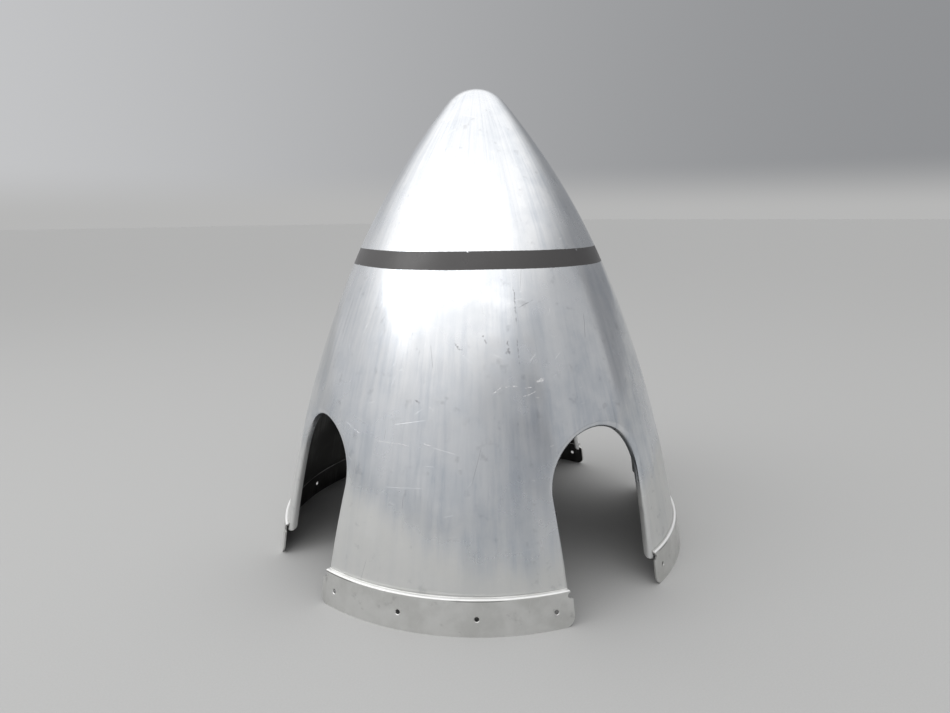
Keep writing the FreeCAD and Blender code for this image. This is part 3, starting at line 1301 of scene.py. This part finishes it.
@dataclass
class Surface:
    """A material being made: its nodes, its shader, the position on the object and the height."""

    name: str

    def __post_init__(self) -> None:
        """Make the material with its shader and output."""
        self.material = bpy.data.materials.new(self.name)
        self.material.use_nodes = True
        self.material.node_tree.nodes.clear()
        self.nodes = Nodes(self.material.node_tree)
        self.shader = self.nodes.add("ShaderNodeBsdfPrincipled")
        self.nodes.add("ShaderNodeOutputMaterial", {"Surface": self.shader.outputs[0]})
        self.position = self.nodes.output("ShaderNodeTexCoord", which="Object")
        self.height = self.nodes.split(self.position)[2]

    def effect(self, group: bpy.types.NodeTree, **values: Any) -> Value:
        """Place an effect's group with its own values, and return its output."""
        inputs = {"Position": self.position, **values}
        return self.nodes.output("ShaderNodeGroup", inputs, node_tree=group)

    def marked(self, group: bpy.types.NodeTree, kind: Kind) -> Any:
        """All the placed marks of one kind together."""
        marks = [self.effect(group, **mark.inputs()) for mark in MARKS if mark.kind is kind]
        return self.nodes.largest(0.0, *marks)

    def bump(self, *layers: tuple[Value, float]) -> Value:
        """A normal with bumps one on top of the other, each with its depth in metres."""
        inputs: dict[str, Any] = {"Strength": 1.0}
        for height, depth in layers:
            inputs.update(Height=height, Distance=depth)
            inputs["Normal"] = self.nodes.output("ShaderNodeBump", inputs)
        return inputs["Normal"]

    def set(self, **values: Any) -> None:
        """Feed the shader's inputs, written with underscores for spaces."""
        for name, value in values.items():
            self.nodes.feed(self.shader.inputs[name.replace("_", " ")], value)


@dataclass(frozen=True)
class Finish:
    """A finish of the sheet."""

    name: str

    def lay(self, s: Surface, effects: Effects) -> None:
        """Feed the surface's shader; each finish has its own way."""
        raise NotImplementedError

    def material(self, effects: Effects) -> bpy.types.Material:
        """Make the material.

        Args:
            effects: The shared shader groups.

        Returns:
            The material.
        """
        surface = Surface(self.name)
        self.lay(surface, effects)
        return surface.material


@dataclass(frozen=True)
class PolishedAluminium(Finish):
    """Hand-polished sheet with streaks, haze, scratches and a worn painted band.

    Each share says how strongly a layer covers, and each gloss how far it roughens.
    """

    name: str = "polished_aluminium"
    bright: Colour = (0.84, 0.85, 0.865, 1.0)
    dull: Colour = (0.58, 0.62, 0.675, 1.0)
    # painted reflection: warm grey of the floor, laid on the dome's lower zone
    floor_reflection_warm: Colour = (0.70, 0.697, 0.672, 1.0)
    scuff: Colour = (0.30, 0.305, 0.32, 1.0)
    cut: Colour = (0.93, 0.93, 0.94, 1.0)
    scraped_and_highlight: Colour = (0.95, 0.95, 0.95, 1.0)
    paint: Colour = (0.060, 0.057, 0.057, 1.0)
    band_bottom: float = 340.2 * MM
    band_top: float = 358.3 * MM
    band_ragged: float = 0.9 * MM
    # the camera's right-hand way, along which the edge of the lower zone's painted reflection
    # curves
    camera_right: Point = (0.819, -0.574, 0.0)
    rubbed_low: float = 58.0 * MM
    rubbed_high: float = 100.0 * MM
    rubbed_wave: float = 50.0 * MM
    rubbed_lift: float = 10.0 * MM
    rubbed_least: float = -60.0 * MM
    lean_square: float = -2.2
    lean_slope: float = 0.16
    dulled_low: float = 100.0 * MM
    dulled_high: float = 270.0 * MM
    floor_reflection_share: float = 0.75
    upright_share: float = 0.5
    spot_share: float = 0.22
    cut_share: float = 0.35
    dark_share: float = 0.65
    light_share: float = 0.85
    gloss: float = 0.20
    haze_gloss: float = 0.08
    cloud_gloss: float = 0.08
    rubbed_gloss: float = 0.26
    paint_gloss: float = 0.10
    dent_depth: float = 0.5 * MM
    hair_depth: float = 0.02 * MM
    cut_depth: float = 0.04 * MM

    def rubbed(self, s: Surface, streaks: Value) -> Value:
        """The rubbed, rougher zone above the ledge, tinted warm grey as a painted reflection of the
        floor, its edge curved along the camera's right-hand way.
        """
        lean = s.nodes.vector("DOT_PRODUCT", s.position, self.camera_right)
        shift = lean * (lean * self.lean_square + self.lean_slope)
        level = s.height + s.nodes.largest(shift + self.rubbed_lift, self.rubbed_least)
        level = (streaks - 0.5) * self.rubbed_wave + level
        return s.nodes.fall(level, self.rubbed_low, self.rubbed_high)

    def lay(self, s: Surface, effects: Effects) -> None:
        """Lay streaks, haze, scratches, marks and the painted band."""
        n = s.nodes
        wide = s.effect(effects.streaks, Around=9.0, Along=4.0, Seed=3.0)
        fine = s.effect(effects.streaks, Around=30.0, Along=14.0, Seed=11.0)
        hair = s.effect(effects.streaks, Around=110.0, Along=40.0, Seed=29.0)
        haze = s.effect(effects.haze, Size=0.085, Low=0.38, High=0.66, Seed=0.37)
        cloud = s.effect(effects.haze, Size=0.030, Low=0.36, High=0.68, Seed=1.63)
        spots = s.effect(effects.haze, Size=0.012, Low=0.60, High=0.74, Seed=0.91)
        # lower zone: partly a rougher rubbed finish, partly a painted reflection of the floor in
        # its warm tint and lower metallic share
        lower = self.rubbed(s, wide)
        middle = n.fall(s.height, self.dulled_low, self.dulled_high)
        cut = effects.scratches
        nicks = s.effect(cut, Spacing=0.024, Length=0.016, Width=0.28 * MM, Share=0.42)
        long = s.effect(
            cut, Spacing=0.075, Length=0.060, Width=0.34 * MM, Share=0.40, Spread=0.9, Lean=0.1
        )
        upright = s.effect(
            cut, Spacing=0.060, Length=0.055, Width=0.4 * MM, Share=0.35, Spread=0.5, Lean=1.55
        )
        edges = {"Bottom": self.band_bottom, "Top": self.band_top, "Ragged": self.band_ragged}
        paint = s.effect(effects.band, Chips=0.5, **edges)
        dark, light = (s.marked(effects.mark, kind) for kind in (Kind.DARK, Kind.LIGHT))
        cuts = n.largest(nicks, long)
        streak = wide * 0.6 + fine * 0.4
        dullness = n.ramp(streak, low=0.40, high=0.64) * 0.6 + cloud * 0.4
        dullness = (middle * (streak - 0.20) + dullness * (haze * -0.35 + 0.80)).clamped()
        colour = n.layered(
            self.bright,
            (dullness, self.dull),
            (lower * self.floor_reflection_share, self.floor_reflection_warm),
            (n.largest(upright * self.upright_share, spots * self.spot_share), self.scuff),
            (cuts * self.cut_share, self.cut),
            (dark * self.dark_share, self.scuff),
            (light * self.light_share, self.scraped_and_highlight),
            (paint, self.paint),
        )
        gloss = haze * self.haze_gloss + self.gloss + (cloud - 0.5) * self.cloud_gloss
        gloss = gloss + lower * self.rubbed_gloss + paint * self.paint_gloss
        dents = n.noise(s.position, scale=22.0, detail=1.0)
        relief = paint * 0.6 - n.largest(cuts, upright)
        normal = s.bump((dents, self.dent_depth), (hair, self.hair_depth), (relief, self.cut_depth))
        # the lower zone's metallic share drops so that its painted floor reflection shows
        metal = (light * -0.5 + (lower * -0.2 + 1.0 - paint)).clamped()
        s.set(Base_Color=colour, Metallic=metal, Roughness=gloss, Normal=normal)


@dataclass(frozen=True)
class SatinAluminium(Finish):
    """Evenly rubbed sheet, as on the skirt, with a painted highlight on its ledge and painted shade
    under it.
    """

    name: str = "satin_aluminium"
    colour: Colour = (0.64, 0.64, 0.622, 1.0)
    worn: Colour = (0.76, 0.76, 0.745, 1.0)
    stained: Colour = (0.42, 0.42, 0.41, 1.0)
    cut: Colour = (0.85, 0.85, 0.85, 1.0)
    # painted highlight: near-white colour laid on the ledge's flat top
    scraped_and_highlight: Colour = (0.93, 0.93, 0.925, 1.0)
    # painted shade: near-black colour of the line just under the ledge
    painted_crease_shade: Colour = (0.14, 0.138, 0.13, 1.0)
    stain_share: float = 0.5
    cut_share: float = 0.4
    painted_crease_shade_share: float = 0.8
    # heights and radii that bound the painted highlight on the ledge
    ledge_highlight_low: float = 35.0 * MM
    ledge_highlight_high: float = 35.35 * MM
    cove_low: float = 35.55 * MM
    cove_high: float = 35.8 * MM
    crest_start: float = 245.0 * MM
    crest_full: float = 245.6 * MM
    crease: float = 34.0 * MM
    crease_shade_core: float = 0.2 * MM
    crease_shade_fade: float = 0.6 * MM
    gloss: float = 0.46
    haze_gloss: float = -0.08
    grain_depth: float = 0.04 * MM
    cut_depth: float = 0.03 * MM

    def lay(self, s: Surface, effects: Effects) -> None:
        """Lay haze, stains and scratches, the ledge's painted highlight and the painted shade under
        it.
        """
        n = s.nodes
        haze = s.effect(effects.haze, Size=0.04, Low=0.38, High=0.66, Seed=0.12)
        stains = s.effect(effects.haze, Size=0.012, Low=0.60, High=0.74, Seed=0.55)
        grain = n.noise(s.position, scale=900.0, detail=2.0)
        nicks = s.effect(effects.scratches, Spacing=0.016, Length=0.012, Width=0.00026, Share=0.45)
        x, y, _ = n.split(s.position)
        out = n.vector("LENGTH", n.join(x, y, 0.0))
        # painted highlight: the outer part of the ledge's flat top is painted near white, standing
        # in for the light it catches from above
        ledge = n.ramp(s.height, self.ledge_highlight_low, self.ledge_highlight_high)
        ledge = ledge * n.fall(s.height, self.cove_low, self.cove_high)
        ledge = ledge * n.ramp(out, self.crest_start, self.crest_full)
        # painted shade: a dark, patchy line painted along the height just under the ledge's round,
        # where its overhang shades the skirt
        under = n.fall(abs(s.height - self.crease), self.crease_shade_core, self.crease_shade_fade)
        patchy = n.ramp(n.noise(s.position, scale=16.0, detail=2.0), low=0.47, high=0.55)
        colour = n.layered(
            self.colour,
            (haze, self.worn),
            (stains * self.stain_share, self.stained),
            (nicks * self.cut_share, self.cut),
            (under * patchy * self.painted_crease_shade_share, self.painted_crease_shade),
            (ledge, self.scraped_and_highlight),
        )
        normal = s.bump((grain, self.grain_depth), (nicks, -self.cut_depth))
        gloss = haze * self.haze_gloss + self.gloss
        # the painted highlight also lowers the metallic share on the ledge
        s.set(Base_Color=colour, Metallic=ledge * -0.5 + 1.0, Roughness=gloss, Normal=normal)


@dataclass(frozen=True)
class DullInside(Finish):
    """Unpolished inner face, its colour near black as painted shade of the dome's dim inside."""

    name: str = "dull_inside"
    # painted shade: near-black colour standing in for the shade inside the dome
    colour: Colour = (0.055, 0.054, 0.052, 1.0)
    bare: Colour = (0.13, 0.13, 0.127, 1.0)
    gloss: float = 0.62
    haze_gloss: float = -0.12
    streak_depth: float = 0.1 * MM

    def lay(self, s: Surface, effects: Effects) -> None:
        """Lay a bare, hazy streak here and there."""
        haze = s.effect(effects.haze, Size=0.06, Low=0.40, High=0.70, Seed=0.71)
        streak = s.effect(effects.streaks, Around=30.0, Along=6.0, Seed=7.0)
        colour = s.nodes.mix(haze * s.nodes.ramp(streak, low=0.4, high=0.6), self.colour, self.bare)
        gloss = haze * self.haze_gloss + self.gloss
        normal = s.bump((streak, self.streak_depth))
        s.set(Base_Color=colour, Metallic=0.85, Roughness=gloss, Normal=normal)


# -------- the studio


@dataclass(frozen=True)
class Softbox:
    """One large soft lamp that points at the object, placed with the camera on the -Y side."""

    name: str
    place: Point
    width: float
    height: float
    radiance: float
    target: Point = (0.0, 0.0, 0.28)

    def build(self, place: Point) -> None:
        """Make the lamp at its turned place, its power worked out from how bright its face is."""
        lamp = bpy.data.lights.new(self.name, "AREA")
        lamp.shape = "RECTANGLE"
        lamp.size, lamp.size_y = self.width, self.height
        lamp.energy = self.radiance * math.pi * self.width * self.height
        item = linked(self.name, lamp)
        item.location = place
        way = Vector(self.target) - Vector(place)
        item.rotation_euler = way.to_track_quat("-Z", "Y").to_euler()


LAMPS = (
    Softbox("overhead_softbox", (-0.25, -1.5, 2.3), 3.0, 1.8, 0.35),
    Softbox("window_softbox", (-1.6, -0.5, 1.8), 1.3, 1.3, 1.8),
    Softbox("side_softbox", (2.0, -0.65, 0.85), 2.3, 1.1, 0.2),
)


@dataclass
class Studio:
    """Plain pale floor, soft lamps, a plain surround and the camera.

    Attributes:
        window_way: Which way the window lies, with the camera on the -Y side.
        haze_rise: How far above the horizon its own tone reaches.
        ceiling_low: Rise at which the ceiling's tone starts.
        ceiling_high: Rise from which it is full.
        shaded_lean: How far the ceiling's edge is lifted on the shaded side.
        window_lean: How far it is lowered on the window's side.
    """

    turn: float = deg(-35.0)
    distance: float = 0.8114
    eye_height: float = 0.3949
    pitch: float = deg(12.19)
    yaw: float = -0.0057
    roll: float = -0.0113
    lens: float = 24.95
    sensor_width: float = 36.0
    nearest: float = 0.01
    farthest: float = 100.0
    shaded_side: Colour = (0.27, 0.275, 0.285, 1.0)
    window_side: Colour = (0.62, 0.625, 0.635, 1.0)
    ceiling: Colour = (1.22, 1.22, 1.22, 1.0)
    horizon: Colour = (0.475, 0.475, 0.472, 1.0)
    window_way: Point = (-0.97, -0.22, 0.0)
    haze_rise: float = 0.07
    ceiling_low: float = 0.34
    ceiling_high: float = 0.78
    shaded_lean: float = 0.08
    window_lean: float = 0.20
    floor_half: float = 30.0
    floor_dark: Colour = (0.42, 0.42, 0.416, 1.0)
    floor_light: Colour = (0.47, 0.47, 0.466, 1.0)

    def turned(self, x: float, y: float, z: float) -> Point:
        """A point given with the camera on the -Y side, turned to the camera's real side."""
        c, s = math.cos(self.turn), math.sin(self.turn)
        return x * c - y * s, x * s + y * c, z

    def camera(self) -> None:
        """Make the scene's camera."""
        data = bpy.data.cameras.new("camera")
        data.lens, data.sensor_width = self.lens, self.sensor_width
        data.clip_start, data.clip_end = self.nearest, self.farthest
        flat = math.cos(self.pitch)
        ahead = Vector(polar(QUARTER - self.yaw, flat, -math.sin(self.pitch)))
        right = Vector(polar(-self.yaw, 1.0, 0.0))
        up = right.cross(ahead)
        side = right * math.cos(self.roll) + up * math.sin(self.roll)
        top = up * math.cos(self.roll) - right * math.sin(self.roll)
        item = linked("camera", data)
        matrix = item.matrix_world.copy()
        for column, axis in enumerate((side, top, -ahead)):
            for row, part in enumerate(self.turned(*axis)):
                matrix[row][column] = part
        matrix.translation = Vector(self.turned(0.0, -self.distance, self.eye_height))
        item.matrix_world = matrix
        bpy.context.scene.camera = item

    def floor(self) -> None:
        """Make the plain pale floor."""
        s = Surface("pale_floor")
        grain = s.nodes.noise(s.position, scale=600.0, detail=3.0)
        colour = s.nodes.mix(grain, self.floor_dark, self.floor_light)
        s.set(Base_Color=colour, Roughness=0.9, Specular_IOR_Level=0.1)
        half = self.floor_half
        corners = [(x * half, y * half, 0.0) for x, y in ((-1, -1), (1, -1), (1, 1), (-1, 1))]
        mesh = bpy.data.meshes.new("floor")
        mesh.from_pydata(corners, [], [(0, 1, 2, 3)])
        mesh.materials.append(s.material)
        linked("floor", mesh)

    def surround(self) -> None:
        """Make the plain surround, a little brighter on the window's side."""
        world = bpy.data.worlds.new("surround")
        world.use_nodes = True
        world.node_tree.nodes.clear()
        n = Nodes(world.node_tree)
        way = n.output("ShaderNodeTexCoord", which="Generated")
        _, _, rise = n.split(way)
        lit = n.vector("DOT_PRODUCT", way, self.turned(*self.window_way))
        lean = n.math("MINIMUM", lit, 0.0) * self.shaded_lean
        lean = n.largest(lit, 0.0) * self.window_lean + lean
        walls = n.mix(n.ramp(lit, low=-0.9, high=0.9), self.shaded_side, self.window_side)
        colour = n.layered(
            self.horizon,
            (n.ramp(rise, 0.0, self.haze_rise), walls),
            (n.ramp(rise + lean, self.ceiling_low, self.ceiling_high), self.ceiling),
        )
        shade = n.output("ShaderNodeBackground", {"Color": colour, "Strength": 1.0})
        n.add("ShaderNodeOutputWorld", {"Surface": shade})
        bpy.context.scene.world = world

    def build(self) -> None:
        """Make the whole studio."""
        self.camera()
        self.floor()
        self.surround()
        for lamp in LAMPS:
            lamp.build(self.turned(*lamp.place))
        bpy.context.scene.view_settings.view_transform = "Standard"


# -------- all together


def place(piece: bpy.types.Object) -> None:
    """Let a finished piece ride on the spinner and stand for its frame node."""
    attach(piece, "root")
    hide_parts("spinner_dome")
    log.info("%s: %d faces", piece.name, len(piece.data.polygons))


def main() -> None:
    """Build the spinner and the studio."""
    logging.basicConfig(level=logging.INFO, format="%(name)s %(message)s")
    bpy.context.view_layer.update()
    Studio().build()
    effects = Effects()
    polished = PolishedAluminium().material(effects)
    satin = SatinAluminium().material(effects)
    dull = DullInside().material(effects)
    repeat = round_the_axis_tree()
    ogive = Ogive()
    place(Dome(ogive).build(repeat, Outside=polished, Inside=dull))
    place(Skirt(ogive).build(repeat, Outside=satin, Inside=dull))


if __name__ == "__main__":
    main()
